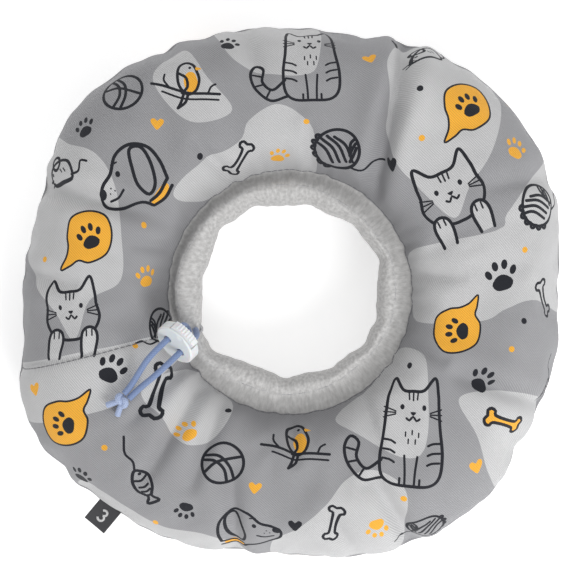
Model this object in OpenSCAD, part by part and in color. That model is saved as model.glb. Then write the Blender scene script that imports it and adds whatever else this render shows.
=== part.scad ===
// Soft recovery collar: a stuffed fabric ring with a jersey neck cuff, an elastic
// drawstring, a two-hole cord lock and a folded size label. Millimetres, +Z up, the
// origin on the ring's axis at the plane that the ring lies on.

/* [Stuffed ring] */
// Outside diameter of the stuffed ring
ring_d = 275; // [240:1:320]
// Height of the ring, lying flat
ring_h = 66; // [58:1:72]
// Radius of the ring's rounded sides
side_r = 35; // [33:0.5:37]
// Radius at which the printed cover meets the cuff
neck_seam_r = 60; // [58:0.5:62]
// Thickness of the printed cover
cover_t = 1.2; // [0.8:0.1:1.6]

/* [Neck cuff] */
// Radius of the neck opening
neck_r = 44; // [42:0.5:46]
// Radius of the padded roll that holds the drawstring
roll_r = 5; // [4.5:0.1:5.5]
// Height of the middle of the roll
roll_z = 37.5; // [36:0.5:39]
// Height of the cuff's lower fold
cuff_low_z = 16; // [14:0.5:20]
// Radius of the drawstring's tunnel inside the roll
tunnel_r = 2.3; // [2:0.1:2.6]

/* [Drawstring] */
// Diameter of the elastic cord
cord_d = 3; // [2.5:0.1:3.2]
// Direction around the ring in which the loose end lies
tail_az = 224.5; // [220:0.5:230]
// Direction around the ring of the buttonhole
hole_az = 202; // [198:0.5:206]
// Length of the buttonhole, along the ring's radius
hole_len = 8.6; // [8:0.1:9]
// Width of the buttonhole
hole_w = 4.2; // [4:0.1:5]
// Radius of the round part of the end knot
knot_r = 4.6; // [4:0.1:5]

/* [Cord lock] */
// Diameter of the cord lock
lock_d = 22; // [20:0.5:24]
// Thickness of the cord lock
lock_t = 5.8; // [5.4:0.1:6.4]
// Slope of the cord through the lock
lock_tilt = 30; // [20:1:34]
// Distance between the two cord holes
hole_gap = 8.7; // [8:0.1:9]
// Radius of each cord hole
lock_hole_r = 2.1; // [1.9:0.05:2.2]
// Travel of the push button
press = 2.3; // [2:0.1:2.4]

/* [Size label] */
// Direction around the ring in which the label lies
label_az = 230; // [225:1:235]
// Width of the label
label_w = 12.6; // [10:0.1:16]
// Visible length of the folded label
label_len = 13.2; // [10:0.1:16]
// Thickness of the folded label
label_t = 1; // [0.8:0.1:1.4]

/* [Hidden] */
$fn = 64;
eps = 0.02;

// The ring's section is two circles with a flat between them, cut off level at the base.
outer_r = ring_d / 2;
side_z = ring_h - side_r;
side_out = outer_r - side_r;
side_in = neck_seam_r - 3.5 + side_r;
seam_dz = sqrt(pow(side_r, 2) - pow(side_in - neck_seam_r, 2));

// Threads and seams.
thread_r = 0.45;
seam_bead_r = 0.8;
seam_half_t = 0.6;
seam_in = outer_r - 3;
radial_az_top = 197;
radial_az_bottom = 17;
seam_clear = 4;
thread_gap = 0.1;
neck_high_z = side_z + seam_dz;
neck_low_z = side_z - seam_dz + 0.1;

// Cord, in its own frame: x along the loose end from the lock, y across it, z height.
cord_r = cord_d / 2;
lock_x = -54;
lock_y = -24;
lock_z = 70.4;
cord_y = hole_gap / 2;
exit_in_r = 50.2;
exit_out_r = 53.8;
stub_top_z = 40.6;
roll_mid_r = neck_r + roll_r;
cuff_top_z = roll_z + roll_r;

// Routes of the two strands from the buttonhole, through the lock, to the knot.
ROUTE_LEFT = [[-9, 1.5, 43.6], [-9, 1.8, 47.5], [-9, 2.4, 52], [-8.8, 3.1, 56.7],
    [-8.3, 3.8, 61.2], [-7.1, 4.25, 65.1], [-5.2, 4.35, 67.4], [-2.6, 4.35, 68.9],
    [0, 4.35, 70.4], [2.6, 4.35, 71.9], [5.2, 4.35, 73.4], [7.8, 4.35, 74.9],
    [10.4, 4.35, 76.4], [13.5, 4.25, 77.1], [17, 4.1, 77], [21, 3.8, 75.8], [25, 3.4, 73.9],
    [29, 3.1, 72.1], [32, 3.05, 71.2], [34.4, 3.05, 71], [36, 3.05, 71]];
ROUTE_RIGHT = [[-5.6, 0.1, 43.6], [-6.2, -0.4, 47.5], [-6.9, -1.3, 52], [-7.4, -2.4, 56.6],
    [-7.5, -3.5, 61.1], [-6.8, -4.2, 65], [-5.2, -4.35, 67.4], [-2.6, -4.35, 68.9],
    [0, -4.35, 70.4], [2.6, -4.35, 71.9], [5.2, -4.35, 73.4], [7.8, -4.35, 74.9],
    [10.4, -4.35, 76.4], [13.5, -4.2, 77.1], [17, -3.8, 77], [21, -3, 75.8], [25, -2.1, 73.9],
    [29, -1.2, 72.1], [32, -0.7, 71.2], [34.4, -0.45, 71], [36, -0.45, 71]];
knot_x = 39;
knot_y = 1.3;
knot_z = 71;
knot_face = 36;
knot_tail_len = 5;

// Cord lock, in its own frame: x along the cord holes, z towards the button.
lock_r = lock_d / 2;
lock_edge = 0.7;
channel_t = 4.2;
channel_w = 14.6;
channel_bottom = -5.6;
button_t = 3.8;
button_w = 14;
button_bottom = -3;
button_slot_low = 0.3;
pocket_r = 1.9;
pocket_bottom = -9;
rib_r = 0.4;
rib_step = 7;
spring_wire_r = 0.25;
spring_coil_r = 1.35;
spring_turns = 5;

// Label.
label_gap = 0.5;
label_ply = 0.4;
numeral_t = 0.25;
numeral_stroke = 0.7;
numeral_r = 1.55;
bowl_sweep = 248;
bowl_lap = 16;
bowl_x = 1.42;

function unit(v) = v / norm(v);

// Tube swept along points, with rings square to the path and one side kept towards y.
function tangent(p, i) = unit(p[min(i + 1, len(p) - 1)] - p[max(i - 1, 0)]);
function across(t) = unit([0, 1, 0] - t[1] * t);
function ring_points(p, i, r, n) =
    let (t = tangent(p, i), a = across(t), b = cross(t, a))
    [for (k = [0:n - 1]) p[i] + r * (cos(360 * k / n) * a + sin(360 * k / n) * b)];
function tube_faces(rings, n) = concat(
    [[for (k = [n - 1:-1:0]) k]],
    [for (i = [0:rings - 2], k = [0:n - 1])
        [i * n + k, i * n + (k + 1) % n, (i + 1) * n + (k + 1) % n, (i + 1) * n + k]],
    [[for (k = [0:n - 1]) (rings - 1) * n + k]]);

function turned(faces) = [for (f = faces) [for (k = [len(f) - 1:-1:0]) f[k]]];

module tube(p, r, n) {
    points = [for (i = [0:len(p) - 1]) each ring_points(p, i, r, n)];
    polyhedron(points = points, faces = turned(tube_faces(len(p), n)), convexity = 6);
}

// Section of the stuffed ring, shrunk inwards by inset.
module ring_section(inset) {
    r = side_r - inset;
    intersection() {
        union() {
            translate([side_in, side_z]) circle(r);
            translate([side_out, side_z]) circle(r);
            translate([side_in, side_z - r]) square([side_out - side_in, 2 * r]);
        }
        translate([0, inset]) square([2 * outer_r, ring_h]);
    }
}

// Section of the sewn outer edge: a turned-in allowance with a thread bead.
module outer_seam_section() {
    translate([seam_in, side_z - seam_half_t])
        square([outer_r - seam_in, 2 * seam_half_t]);
    translate([outer_r, side_z]) circle(seam_bead_r, $fn = 24);
}

// Section of a thread laid in the joint of cover and cuff, at the given height.
module neck_thread_section(z) {
    translate([neck_seam_r, z]) circle(thread_r, $fn = 24);
}

// Thread along the ring's rounded side, from one angle to another about the side's middle.
module side_thread(x, from, to) {
    translate([x, 0, side_z]) rotate([90, 0, 0]) rotate([0, 0, from])
        rotate_extrude(angle = to - from, $fn = 120)
        translate([side_r, 0]) circle(thread_r, $fn = 24);
}

// Straight thread between the two rounded sides, just short of the threads on them.
module flat_thread(x0, x1, z) {
    translate([x0 + thread_gap, 0, z]) rotate([0, 90, 0])
        cylinder(r = thread_r, h = x1 - x0 - 2 * thread_gap, $fn = 24);
}

// Thread over the top of the ring, from the outer seam to the neck seam.
module top_thread() {
    rotate([0, 0, radial_az_top]) {
        side_thread(side_out, seam_clear, 90);
        flat_thread(side_in, side_out, ring_h);
        side_thread(side_in, 90, 152);
    }
}

// Thread under the ring, laid into the cover where the ring rests on it.
module bottom_thread() {
    low = 60;
    reach = side_r * cos(low);
    rotate([0, 0, radial_az_bottom]) {
        side_thread(side_out, -low, -seam_clear);
        flat_thread(side_in - reach + thread_r, side_out + reach - thread_r, side_z - side_r * sin(low));
        side_thread(side_in, -152, low - 180);
    }
}

// Both covers in one, less what the children take away.
module cover_shell() {
    difference() {
        rotate_extrude($fn = 180) difference() {
            ring_section(0);
            ring_section(cover_t);
            square([neck_seam_r, ring_h + 1]);
            outer_seam_section();
            neck_thread_section(neck_high_z);
            neck_thread_section(neck_low_z);
        }
        children();
    }
}

// A block with its middle at the given height, wide enough to halve the ring.
module half_block(z) {
    translate([0, 0, z]) cube([ring_d + 20, ring_d + 20, 2 * ring_h], center = true);
}

module cover_top() {
    color("#b9babc") intersection() {
        cover_shell() top_thread();
        half_block(side_z + ring_h);
    }
}

module cover_bottom() {
    color("#a9aaac") intersection() {
        cover_shell() bottom_thread();
        half_block(side_z - ring_h);
    }
}

module filling() {
    color("#f4f4f2") rotate_extrude($fn = 180) difference() {
        ring_section(cover_t);
        outer_seam_section();
    }
}

// Section of the cuff: a roll with the tunnel in it, a wall and the web to the two seams.
module cuff_section() {
    difference() {
        union() {
            translate([roll_mid_r, roll_z]) circle(roll_r);
            translate([roll_mid_r, cuff_low_z]) circle(roll_r);
            translate([neck_r, cuff_low_z]) square([2 * roll_r, roll_z - cuff_low_z]);
            translate([roll_mid_r, cuff_low_z - roll_r])
                square([neck_seam_r - roll_mid_r, roll_z - cuff_low_z + 2 * roll_r]);
            intersection() {
                translate([side_in, side_z]) circle(side_r);
                translate([0, side_z - seam_dz]) square([neck_seam_r, 2 * seam_dz]);
            }
        }
        ring_section(cover_t);
        translate([neck_seam_r, 0]) square([ring_h, ring_h]);
        translate([roll_mid_r, roll_z]) circle(tunnel_r);
        neck_thread_section(neck_high_z);
        neck_thread_section(neck_low_z);
        translate([roll_mid_r + roll_r, cuff_top_z]) circle(thread_r, $fn = 24);
    }
}

// Outline of the buttonhole, grown outwards by grow.
module buttonhole_outline(grow) {
    r = hole_w / 2 + grow;
    reach = hole_len / 2 - hole_w / 2;
    mid = (exit_in_r + exit_out_r) / 2;
    rotate(hole_az) translate([mid, 0]) {
        translate([-reach, 0]) circle(r, $fn = 32);
        translate([reach, 0]) circle(r, $fn = 32);
        translate([-reach, -r]) square([2 * reach, 2 * r]);
    }
}

module neck_cuff() {
    color("#bcbcbc") difference() {
        rotate_extrude($fn = 180) cuff_section();
        translate([0, 0, roll_z]) linear_extrude(ring_h) buttonhole_outline(0);
    }
}

module outer_seam() {
    color("#c8c8c8") difference() {
        rotate_extrude($fn = 180) outer_seam_section();
        label_bars();
    }
}

module neck_seam_top() {
    color("#8f9092") rotate_extrude($fn = 120) neck_thread_section(neck_high_z);
}

module neck_seam_bottom() {
    color("#8f9092") rotate_extrude($fn = 120) neck_thread_section(neck_low_z);
}

module radial_seam_top() {
    color("#8f9092") top_thread();
}

module radial_seam_bottom() {
    color("#8f9092") bottom_thread();
}

// The row of stitches that closes the tunnel, open where the buttonhole crosses it.
module tunnel_stitching() {
    gap = 6;
    color("#9b9b9b") rotate([0, 0, hole_az + gap]) translate([0, 0, cuff_top_z])
        rotate_extrude(angle = 360 - 2 * gap, $fn = 120)
        translate([roll_mid_r + roll_r, 0]) circle(thread_r, $fn = 24);
}

module buttonhole_stitching() {
    color("#d6d6d6") translate([0, 0, cuff_top_z]) linear_extrude(0.5) difference() {
        buttonhole_outline(0.8);
        buttonhole_outline(0);
        circle(roll_mid_r);
    }
}

// The part of the cord that stays in the tunnel, with its two ends at the buttonhole.
module drawstring_loop() {
    color("#7a93c4") {
        translate([0, 0, roll_z]) rotate_extrude($fn = 96)
            translate([roll_mid_r, 0]) circle(cord_r, $fn = 24);
        rotate([0, 0, hole_az]) {
            translate([exit_in_r, 0, roll_z]) cylinder(r = cord_r, h = stub_top_z - roll_z, $fn = 24);
            translate([roll_mid_r, 0, stub_top_z - cord_r]) rotate([0, 90, 0])
                cylinder(r = cord_r, h = exit_out_r - roll_mid_r, $fn = 24);
        }
    }
}

module tail_frame() {
    translate([lock_x, lock_y, 0]) rotate([0, 0, tail_az]) children();
}

module lock_frame() {
    tail_frame() translate([0, 0, lock_z]) rotate([0, -lock_tilt, 0]) children();
}

module strand_left() {
    color("#7a93c4") tail_frame() tube(ROUTE_LEFT, cord_r, 8);
}

module strand_right() {
    color("#7a93c4") tail_frame() tube(ROUTE_RIGHT, cord_r, 8);
}

// The knot is flat where the strands enter it; the two cut ends point away from them.
module end_knot() {
    color("#a9bde0") tail_frame() {
        difference() {
            translate([knot_x, knot_y, knot_z]) sphere(knot_r, $fn = 48);
            translate([knot_face - 2 * knot_r, knot_y, knot_z]) cube(4 * knot_r, center = true);
        }
        for (side = [-1, 1]) {
            translate([knot_x + 2, knot_y + side * 2, knot_z - 1]) rotate([0, 96, side * 24])
                cylinder(r = cord_r, h = knot_tail_len, $fn = 24);
        }
    }
}

// A disc with its axis along x and its edges broken.
module lock_disc() {
    rotate([0, 90, 0]) {
        translate([0, 0, -lock_t / 2]) cylinder(r1 = lock_r - lock_edge, r2 = lock_r, h = lock_edge);
        translate([0, 0, lock_edge - lock_t / 2]) cylinder(r = lock_r, h = lock_t - 2 * lock_edge);
        translate([0, 0, lock_t / 2 - lock_edge]) cylinder(r1 = lock_r, r2 = lock_r - lock_edge, h = lock_edge);
    }
}

module cord_lock_body() {
    thumb_r = 6;
    thumb_depth = 0.4;
    color("#e9ecec") lock_frame() difference() {
        lock_disc();
        translate([-channel_t / 2, -channel_w / 2, channel_bottom])
            cube([channel_t, channel_w, lock_d]);
        translate([0, 0, pocket_bottom]) cylinder(r = pocket_r, h = channel_bottom - pocket_bottom + 1, $fn = 32);
        for (side = [-1, 1]) {
            translate([0, side * cord_y, 0]) rotate([0, 90, 0])
                cylinder(r = lock_hole_r, h = 2 * lock_t, center = true, $fn = 32);
        }
        translate([lock_t / 2 - thumb_depth + thumb_r, 0, lock_r - 1]) sphere(thumb_r);
    }
}

// The button is a flat plunger with a slot for each strand and ribs on its thumb end.
module cord_lock_button() {
    cap_r = lock_r + press - 0.1;
    color("#f2f4f4") lock_frame() difference() {
        union() {
            intersection() {
                translate([-button_t / 2, -button_w / 2, button_bottom])
                    cube([button_t, button_w, cap_r + 5]);
                rotate([0, 90, 0]) cylinder(r = cap_r, h = lock_t, center = true, $fn = 96);
            }
            for (k = [-3:3]) {
                rotate([k * rib_step, 0, 0]) translate([0, 0, cap_r]) rotate([0, 90, 0])
                    cylinder(r = rib_r, h = button_t, center = true, $fn = 16);
            }
        }
        for (side = [-1, 1]) {
            translate([0, side * cord_y, 0]) {
                for (z = [button_slot_low, button_slot_low + press]) {
                    translate([0, 0, z]) rotate([0, 90, 0])
                        cylinder(r = lock_hole_r, h = lock_t, center = true, $fn = 32);
                }
                translate([-lock_t / 2, -lock_hole_r, button_slot_low])
                    cube([lock_t, 2 * lock_hole_r, press]);
            }
        }
    }
}

module cord_lock_spring() {
    rings = spring_turns * 14;
    rise = button_bottom - pocket_bottom - 2 * spring_wire_r - 2 * eps;
    low = pocket_bottom + spring_wire_r + eps;
    points = [for (i = [0:rings - 1])
        let (a = 360 * spring_turns * i / (rings - 1), z = low + rise * i / (rings - 1))
        for (k = [0:5])
            let (c = spring_coil_r + spring_wire_r * cos(60 * k))
            [c * cos(a), c * sin(a), z + spring_wire_r * sin(60 * k)]];
    color("#c9ccd0") lock_frame()
        polyhedron(points = points, faces = tube_faces(rings, 6), convexity = 10);
}

// Frame at the outer seam: x outwards, y along the seam.
module label_frame() {
    rotate([0, 0, label_az]) translate([outer_r + seam_bead_r + label_gap, 0, side_z]) children();
}

module size_label() {
    fold_r = label_t / 2;
    color("#3a3a3c") label_frame() translate([0, label_w / 2, 0]) rotate([90, 0, 0])
        linear_extrude(label_w) difference() {
            union() {
                translate([0, -fold_r]) square([label_len - fold_r, label_t]);
                translate([label_len - fold_r, 0]) circle(fold_r, $fn = 32);
            }
            translate([-1, label_ply - fold_r]) square([label_len - fold_r + 1, label_t - 2 * label_ply]);
        }
}

// One bowl of the size number, a flat open arc.
module numeral_bowl(x, from) {
    translate([x, 0, 0]) rotate([0, 0, from]) rotate_extrude(angle = bowl_sweep, $fn = 48)
        translate([numeral_r - numeral_stroke / 2, 0]) square([numeral_stroke, numeral_t]);
}

// The size number, two bowls one above the other, its top towards the ring.
module label_numeral() {
    color("#ececec") label_frame() translate([label_len / 2 + 0.6, 0, label_t / 2]) {
        numeral_bowl(-bowl_x, -bowl_lap);
        numeral_bowl(bowl_x, 180 + bowl_lap - bowl_sweep);
    }
}

// Two bars of stitches that hold the label's ends inside the outer seam.
module label_bars() {
    bar_w = label_w / 2 - 1;
    for (side = [-1, 1]) {
        rotate([0, 0, label_az]) translate([outer_r, side * label_w / 4 - bar_w / 2, side_z])
            rotate([-90, 0, 0]) cylinder(r = 0.3, h = bar_w, $fn = 16);
    }
}

module label_stitching() {
    color("#55565a") label_bars();
}

cover_top();
cover_bottom();
filling();
neck_cuff();
outer_seam();
neck_seam_top();
neck_seam_bottom();
radial_seam_top();
radial_seam_bottom();
tunnel_stitching();
buttonhole_stitching();
drawstring_loop();
strand_left();
strand_right();
end_knot();
cord_lock_body();
cord_lock_button();
cord_lock_spring();
size_label();
label_numeral();
label_stitching();
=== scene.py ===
"""A stuffed recovery collar: printed covers, jersey cuff, drawstring, cord lock and label."""

import math

import bpy
import numpy as np
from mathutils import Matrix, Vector
from mathutils.geometry import delaunay_2d_cdt


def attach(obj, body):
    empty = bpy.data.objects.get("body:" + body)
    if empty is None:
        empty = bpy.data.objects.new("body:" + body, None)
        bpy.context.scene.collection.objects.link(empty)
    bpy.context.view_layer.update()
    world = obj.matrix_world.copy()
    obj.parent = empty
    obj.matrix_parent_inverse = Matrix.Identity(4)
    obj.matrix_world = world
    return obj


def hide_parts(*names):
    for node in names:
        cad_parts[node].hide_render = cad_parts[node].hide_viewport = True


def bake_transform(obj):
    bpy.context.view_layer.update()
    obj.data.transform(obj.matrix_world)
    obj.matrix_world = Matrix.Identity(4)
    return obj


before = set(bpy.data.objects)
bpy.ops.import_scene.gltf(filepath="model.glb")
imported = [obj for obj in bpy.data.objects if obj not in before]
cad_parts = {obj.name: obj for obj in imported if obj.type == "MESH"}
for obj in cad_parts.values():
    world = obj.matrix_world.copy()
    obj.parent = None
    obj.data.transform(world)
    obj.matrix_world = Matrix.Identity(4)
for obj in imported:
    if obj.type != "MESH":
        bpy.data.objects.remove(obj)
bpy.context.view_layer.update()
MM = 0.001
TAU = 2 * math.pi
# The elastic cord: its radius, how far its braid runs in one turn, and the braid's depth.
CORD_R = 1.5
BRAID_PITCH = 5.6
BRAID_DEPTH = 0.09

# ---------------------------------------------------------------- camera, light, floor


def add_object(name, data):
    obj = bpy.data.objects.new(name, data)
    bpy.context.scene.collection.objects.link(obj)
    return obj


def add_camera():
    data = bpy.data.cameras.new("camera")
    data.angle = math.radians(15.0)
    cam = add_object("camera", data)
    cam.location = (0, 0.001, 1.131)
    bpy.context.scene.camera = cam


def add_area_light(name, place, size, power, aim=(0, 0, 0.03)):
    data = bpy.data.lights.new(name, "AREA")
    data.shape = "DISK"
    data.size = size
    data.energy = power
    lamp = add_object(name, data)
    lamp.location = place
    lamp.rotation_euler = (Vector(aim) - Vector(place)).to_track_quat("-Z", "Y").to_euler()


def add_lights():
    world = bpy.data.worlds.new("studio")
    bpy.context.scene.world = world
    world.use_nodes = True
    back = world.node_tree.nodes["Background"]
    back.inputs["Color"].default_value = (1, 1, 1, 1)
    back.inputs["Strength"].default_value = 0.62
    add_area_light("key", (0.5, -0.85, 0.95), 0.7, 9.6)
    add_area_light("fill", (0.2, 0.9, 1.2), 1.1, 2.5)
    bpy.context.scene.view_settings.view_transform = "Standard"


# ---------------------------------------------------------------- materials


class Nodes:
    """A short way to write a material's node tree."""

    def __init__(self, name):
        self.mat = bpy.data.materials.new(name)
        self.mat.use_nodes = True
        self.tree = self.mat.node_tree
        self.bsdf = self.tree.nodes["Principled BSDF"]

    def put(self, socket, value):
        if isinstance(value, bpy.types.NodeSocket):
            self.tree.links.new(value, socket)
        else:
            socket.default_value = value

    def node(self, kind, props=None, **inputs):
        made = self.tree.nodes.new(kind)
        for key, value in (props or {}).items():
            setattr(made, key, value)
        for key, value in inputs.items():
            self.put(made.inputs[key.replace("_", " ")], value)
        return made

    def flat(self):
        """The cloth coordinates, and their x and y."""
        flat = self.node("ShaderNodeAttribute", {"attribute_name": "flat"}).outputs["Vector"]
        x, y, _ = self.node("ShaderNodeSeparateXYZ", Vector=flat).outputs
        return flat, x, y

    def place(self):
        return self.node("ShaderNodeTexCoord").outputs["Object"]

    def math(self, op, *values):
        made = self.node("ShaderNodeMath", {"operation": op})
        for socket, value in zip(made.inputs, values):
            self.put(socket, value)
        return made.outputs[0]

    def blend(self, a, share_a, b, share_b):
        """Two values added up by their shares."""
        return self.math("ADD", self.math("MULTIPLY", a, share_a), self.math("MULTIPLY", b, share_b))

    def wave(self, x, period):
        """A sine of x, from 0 to 1."""
        sine = self.math("SINE", self.math("MULTIPLY", x, TAU / period))
        return self.math("MULTIPLY_ADD", sine, 0.5, 0.5)

    def fade(self, value, near, far, amount):
        """This amount where value is under near, down to 0 past far."""
        return self.node("ShaderNodeMapRange", {"interpolation_type": "SMOOTHSTEP"}, Value=value,
                         From_Min=near, From_Max=far, To_Min=amount, To_Max=0.0).outputs[0]

    def noise(self, vector, scale, detail=2.0):
        return self.node("ShaderNodeTexNoise", Vector=vector, Scale=scale, Detail=detail).outputs["Fac"]

    def mix(self, share, a, b):
        made = self.node("ShaderNodeMix", {"data_type": "RGBA"})
        for index, value in ((0, share), (6, a), (7, b)):
            self.put(made.inputs[index], value)
        return made.outputs[2]

    def ramp(self, value, low, high):
        """A colour from low to high over the middle of a noise's range."""
        made = self.node("ShaderNodeValToRGB")
        self.put(made.inputs[0], value)
        for element, at, colour in zip(made.color_ramp.elements, (0.3, 0.7), (low, high)):
            element.position = at
            element.color = colour
        return made.outputs[0]

    def bump(self, height, distance, strength=1.0, normal=None):
        made = self.node("ShaderNodeBump", Height=height, Distance=distance, Strength=strength)
        if normal is not None:
            self.put(made.inputs["Normal"], normal)
        return made.outputs[0]

    def finish(self, colour, rough, normal, **constants):
        for key, value in (("Base Color", colour), ("Roughness", rough), ("Normal", normal)):
            self.put(self.bsdf.inputs[key], value)
        for key, value in constants.items():
            self.bsdf.inputs[key.replace("_", " ")].default_value = value
        return self.mat


def rgb(code):
    """A linear colour from a display hex colour."""
    parts = [int(code[i : i + 2], 16) / 255 for i in (0, 2, 4)]
    lin = [p / 12.92 if p <= 0.04045 else ((p + 0.055) / 1.055) ** 2.4 for p in parts]
    return (*lin, 1.0)


def shade(colour, k):
    return (colour[0] * k, colour[1] * k, colour[2] * k, 1.0)


def printed_material(name, code):
    """Woven polyester with the print's colour: a fine twill with painted shade in its gaps, and painted
    shade towards the neck's valley.
    """
    n = Nodes(name)
    flat, x, y = n.flat()
    wobbly = n.math("ADD", n.math("ADD", x, y), n.math("MULTIPLY", n.noise(flat, 0.35), 0.8))
    weave = n.blend(n.wave(wobbly, 1.3), 0.65, n.wave(n.math("SUBTRACT", x, y), 0.9), 0.35)
    base = rgb(code)
    # The twill's ribs, with painted shade in their gaps: the colour is darker where the weave's bump is low.
    share = n.blend(weave, 0.75, n.noise(flat, 0.05), 0.25)
    colour = n.mix(share, shade(base, 0.62), shade(base, 1.18))
    # Painted shade: the cloth darkens towards the neck, where the cover runs down into the valley beside the
    # cuff.
    reach = n.math("SQRT", n.math("ADD", n.math("MULTIPLY", x, x), n.math("MULTIPLY", y, y)))
    colour = n.mix(n.fade(reach, 52.0, 72.0, 0.5), colour, shade(base, 0.5))
    return n.finish(colour, 0.82, n.bump(weave, 0.00026, 0.9), Sheen_Weight=0.06, Sheen_Roughness=0.5)


def jersey_material(name, light, dark):
    """Heather jersey: knit ribs with light and dark fibres mixed, and painted shade on the band beside the
    covers.
    """
    n = Nodes(name)
    light, dark = rgb(light), rgb(dark)
    flat, x, y = n.flat()
    wales = n.wave(x, 1.05)
    courses = n.wave(n.math("ADD", y, n.math("MULTIPLY", wales, 0.35)), 0.8)
    knit = n.blend(wales, 0.65, courses, 0.35)
    stretch = n.node("ShaderNodeMapping", Vector=flat, Scale=(0.62, 0.42, 1.0)).outputs[0]
    fibres = n.ramp(n.noise(stretch, 1.0, 3.0), dark, light)
    grain = n.mix(n.noise(flat, 2.6), shade(dark, 0.9), light)
    colour = n.mix(0.25, fibres, grain)
    colour = n.mix(n.math("MULTIPLY", knit, 0.12), colour, shade(dark, 0.9))
    # Painted shade: the band nearest the top seam, down in the valley beside the covers, is darkened.
    colour = n.mix(n.fade(y, 4.6, 8.0, 0.4), colour, shade(dark, 0.62))
    soft = n.bump(n.noise(flat, 0.5), 0.0005, 0.25)
    return n.finish(colour, 0.92, n.bump(knit, 0.00015, 0.5, soft), Sheen_Weight=0.25, Sheen_Roughness=0.6)


def thread_material(name, code, period=0.5):
    """Twisted sewing thread."""
    n = Nodes(name)
    _, x, y = n.flat()
    twist = n.wave(n.math("ADD", x, y), period)
    colour = n.mix(twist, shade(rgb(code), 0.7), shade(rgb(code), 1.15))
    return n.finish(colour, 0.6, n.bump(twist, 0.00008, 0.6), Sheen_Weight=0.1)


def cord_material(name, code, pale):
    """Braided elastic cord; its flat attribute is (angle, distance) along it."""
    n = Nodes(name)
    flat, x, y = n.flat()
    left, right = (n.wave(n.math(way, x, y), 1.18) for way in ("ADD", "SUBTRACT"))
    strands = n.math("MAXIMUM", left, right)
    share = n.blend(strands, 0.6, n.noise(flat, 3.0), 0.4)
    colour = n.mix(share, shade(rgb(code), 0.72), rgb(pale))
    return n.finish(colour, 0.62, n.bump(strands, 0.0001, 0.5), Sheen_Weight=0.2)


def plastic_material(name):
    """Frosted white plastic with fine moulding texture."""
    n = Nodes(name)
    place = n.place()
    broad = n.noise(place, 120.0)
    rough = n.math("MULTIPLY_ADD", broad, 0.16, 0.24)
    normal = n.bump(n.noise(place, 900.0), 0.00004, 0.25)
    return n.finish(n.mix(broad, rgb("EFF2F5"), rgb("FCFDFE")), rough, normal, Transmission_Weight=0.1,
                    IOR=1.49, Subsurface_Weight=0.15, Subsurface_Scale=0.004)


def steel_material(name):
    n = Nodes(name)
    drawn = n.noise(n.place(), 1500.0)
    colour = n.mix(drawn, rgb("8A8E92"), rgb("C8CCD0"))
    return n.finish(colour, 0.3, n.bump(drawn, 0.00002, 0.3), Metallic=1.0)


def label_material(name, code):
    """Damask label tape: fine warp lines, crossed by weft."""
    n = Nodes(name)
    _, x, y = n.flat()
    weave = n.blend(n.wave(y, 0.42), 0.6, n.wave(n.math("ADD", x, y), 0.6), 0.4)
    colour = n.mix(weave, shade(rgb(code), 0.7), shade(rgb(code), 1.3))
    return n.finish(colour, 0.55, n.bump(weave, 0.0001, 0.7), Sheen_Weight=0.15)


def fibre_material(name):
    n = Nodes(name)
    flat, _, _ = n.flat()
    tufts = n.noise(flat, 0.25, 6.0)
    colour = n.mix(tufts, rgb("D8D8D4"), rgb("FFFFFF"))
    return n.finish(colour, 0.95, n.bump(tufts, 0.002, 0.8), Sheen_Weight=0.3)


def floor_material(name):
    n = Nodes(name)
    grain = n.noise(n.place(), 60.0)
    colour = n.mix(grain, (0.9, 0.9, 0.9, 1), (0.93, 0.93, 0.93, 1))
    return n.finish(colour, 0.75, n.bump(grain, 0.0002, 0.1), Emission_Strength=0.42,
                    Emission_Color=(1, 1, 1, 1))


# ---------------------------------------------------------------- meshes


def add_mesh(name, verts, faces, mats, flat=None, picks=None, normals=None):
    """A smooth mesh in metres from points in millimetres, with flat as its cloth coordinates."""
    mesh = bpy.data.meshes.new(name)
    verts = np.asarray(verts, float) * MM
    mesh.from_pydata([tuple(v) for v in verts], [], [tuple(f) for f in faces])
    for mat in mats:
        mesh.materials.append(mat)
    if picks is not None:
        mesh.polygons.foreach_set("material_index", np.asarray(picks, np.int32))
    mesh.shade_smooth()
    if flat is not None:
        layer = mesh.attributes.new("flat", "FLOAT_VECTOR", "POINT")
        three = np.zeros((len(verts), 3), np.float32)
        flat = np.asarray(flat, float)
        three[:, : flat.shape[1]] = flat
        layer.data.foreach_set("vector", three.ravel())
    mesh.update()
    if normals is not None:
        mesh.normals_split_custom_set_from_vertices([tuple(n) for n in normals])
    return add_object(name, mesh)


def add_piece(name, shape, mat, body, node):
    """A new piece, from its points, faces and cloth coordinates, that stands for a CAD node."""
    points, faces, flat = shape
    obj = add_mesh(name, points, faces, [mat], flat)
    if body:
        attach(obj, body)
    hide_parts(node)
    return obj


def grid_faces(rows, cols, wrap_cols=True, wrap_rows=False):
    """Quads over a grid stored row by row."""
    faces = []
    for j in range(rows if wrap_rows else rows - 1):
        low, high = j * cols, ((j + 1) % rows) * cols
        for i in range(cols if wrap_cols else cols - 1):
            k = (i + 1) % cols
            faces.append((low + i, low + k, high + k, high + i))
    return faces


def catmull(points, step, closed=False):
    """A smooth curve through points, with one point about every step."""
    p = [np.asarray(q, float) for q in points]
    n = len(p)
    out = []
    for i in range(n if closed else n - 1):
        a = p[(i - 1) % n] if closed or i > 0 else 2 * p[0] - p[1]
        b, c = p[i], p[(i + 1) % n]
        d = p[(i + 2) % n] if closed or i + 2 < n else 2 * p[-1] - p[-2]
        count = max(1, int(round(np.linalg.norm(c - b) / step)))
        for t in np.arange(count) / count:
            t2, t3 = t * t, t * t * t
            out.append(
                0.5 * (2 * b + (c - a) * t + (2 * a - 5 * b + 4 * c - d) * t2
                       + (3 * b - a - 3 * c + d) * t3)
            )
    if not closed:
        out.append(p[-1])
    return np.array(out)


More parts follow.
